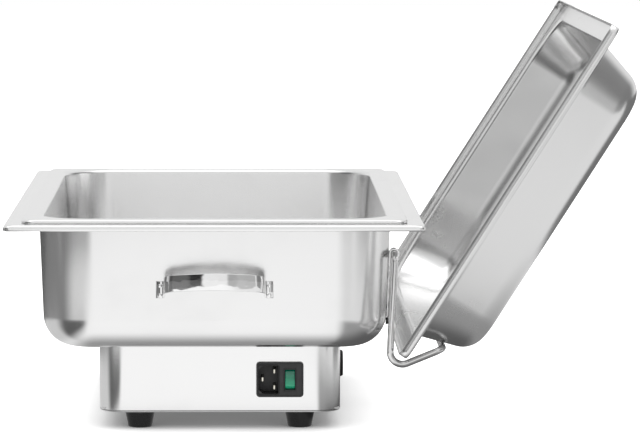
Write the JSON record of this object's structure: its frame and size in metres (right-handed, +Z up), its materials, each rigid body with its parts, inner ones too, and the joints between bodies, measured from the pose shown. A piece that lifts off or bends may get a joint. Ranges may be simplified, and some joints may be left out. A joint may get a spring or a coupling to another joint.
{
  "type": "electric chafing dish",
  "caption": "Rectangular stainless electric chafing dish with a water pan, a lift-out food pan, a lid standing open in a folding wire holder and a heated base with a switch.",
  "frame": {"origin": "underside of the base plate, below the middle of the dish", "axes": "+Z up; +Y along the dish, away from the end with the switch; +X across it, towards the lid holder"},
  "size_m": [0.5374, 0.5712, 0.3549],
  "materials": {
    "steel": "satin stainless steel",
    "polished": "polished stainless steel",
    "coated": "smooth pale steel sheet",
    "black": "glossy black",
    "charcoal": "dark grey plastic",
    "green": "translucent green",
    "brass": "bright",
    "aluminium": "rolled",
    "wool": "pressed mineral felt",
    "ceramic": "unglazed",
    "brown": "insulated wire",
    "blue": "insulated wire"
  },
  "bodies": {
    "dish": {"water_pan": "steel", "holder_bracket_near": "polished", "holder_bracket_far": "polished", "base_housing": "coated", "base_plate": "steel", "power_inlet": "charcoal", "thermostat_body": "ceramic", "heater_plate": "aluminium", "heating_element": "steel", "insulation_pad": "wool", "press_plate": "steel", "heater_nut_1": "steel", "heater_nut_2": "steel", "thermal_cutout": "ceramic", "terminal_block": "ceramic", "live_lead": "brown", "neutral_lead": "blue", "element_lead": "brown", "thermostat_sensor": "brass", "handle_near": "polished", "handle_far": "polished", "bracket_buffer_near": "black", "bracket_buffer_far": "black", "inlet_pin_live": "brass", "inlet_pin_neutral": "brass", "inlet_pin_earth": "brass", "bracket_rivet_near_upper": "polished", "bracket_rivet_near_lower": "polished", "bracket_rivet_far_upper": "polished", "bracket_rivet_far_lower": "polished", "handle_near_rivet_1": "polished", "handle_near_rivet_2": "polished", "handle_near_rivet_3": "polished", "handle_near_rivet_4": "polished", "handle_far_rivet_1": "polished", "handle_far_rivet_2": "polished", "handle_far_rivet_3": "polished", "handle_far_rivet_4": "polished", "housing_nut_1": "steel", "foot_1": "black", "foot_screw_1": "steel", "housing_nut_2": "steel", "foot_2": "black", "foot_screw_2": "steel", "housing_nut_3": "steel", "foot_3": "black", "foot_screw_3": "steel", "housing_nut_4": "steel", "foot_4": "black", "foot_screw_4": "steel"},
    "food_pan": {"food_pan": "steel"},
    "lid_holder": {"lid_holder": "polished"},
    "lid": {"lid": "steel", "lid_handle": "polished", "lid_handle_screw_1": "polished", "lid_handle_screw_2": "polished"},
    "rocker": {"switch_rocker": "green"},
    "knob": {"thermostat_knob": "black", "thermostat_shaft": "steel"}
  },
  "joints": [
    {"name": "holder_swing", "type": "hinge", "parent": "dish", "child": "lid_holder", "pos_m": [0.1535, 0, 0.1404], "axis": [0, -1, 0], "range_deg": [0, 122.5]},
    {"name": "lid_lift", "type": "slide", "parent": "lid_holder", "child": "lid", "axis": [0.3263, 0, 0.9453], "range_m": [0, 0.0558]},
    {"name": "food_pan_lift", "type": "slide", "parent": "dish", "child": "food_pan", "axis": [0, 0, -1], "range_m": [-0.08, 0]},
    {"name": "switch_rocker_tilt", "type": "hinge", "parent": "dish", "child": "rocker", "pos_m": [0.06465, -0.1822, 0.0287], "axis": [1, 0, 0], "range_deg": [0, 20]},
    {"name": "thermostat_turn", "type": "hinge", "parent": "dish", "child": "knob", "pos_m": [0.1091, -0.028, 0.022], "axis": [1, 0, 0], "range_deg": [0, 270]}
  ]
}
